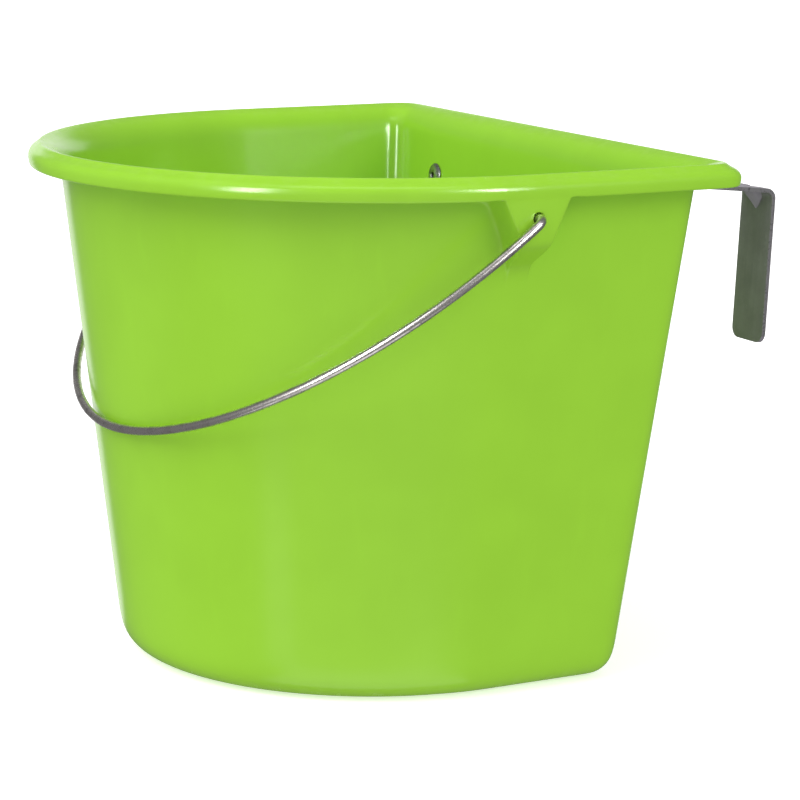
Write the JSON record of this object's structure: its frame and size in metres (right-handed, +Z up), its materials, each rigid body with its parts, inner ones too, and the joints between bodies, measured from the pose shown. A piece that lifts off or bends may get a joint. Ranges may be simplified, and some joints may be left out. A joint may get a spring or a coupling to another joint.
{
  "type": "feed bucket",
  "caption": "D-shaped moulded feed bucket with a rolled rim, a swinging wire bail and riveted flat steel hooks for hanging over a rail or door.",
  "frame": {"origin": "centre of the underside of the base, where it stands on the floor", "axes": "+Z up, the curved front faces -Y and the flat back with the hooks faces +Y, +X is the bail axis"},
  "size_m": [0.34, 0.3167, 0.242],
  "materials": {
    "plastic": "glossy lime green moulded plastic",
    "wire": "bright drawn round wire",
    "strap": "dull grey zinc coating with bright sheared edges",
    "rivet": "dull rolled aluminium",
    "mandrel": "dark broken steel"
  },
  "bodies": {
    "bucket": {"bucket": "plastic", "hook_right": "strap", "rivet_right_upper": "rivet", "mandrel_right_upper": "mandrel", "rivet_right_lower": "rivet", "mandrel_right_lower": "mandrel", "hook_left": "strap", "rivet_left_upper": "rivet", "mandrel_left_upper": "mandrel", "rivet_left_lower": "rivet", "mandrel_left_lower": "mandrel"},
    "bail": {"bail": "wire"}
  },
  "joints": [
    {"name": "bail_swing", "type": "hinge", "parent": "bucket", "child": "bail", "pos_m": [0, -0.0052, 0.2238], "axis": [-1, 0, 0], "range_deg": [0, 189]}
  ]
}
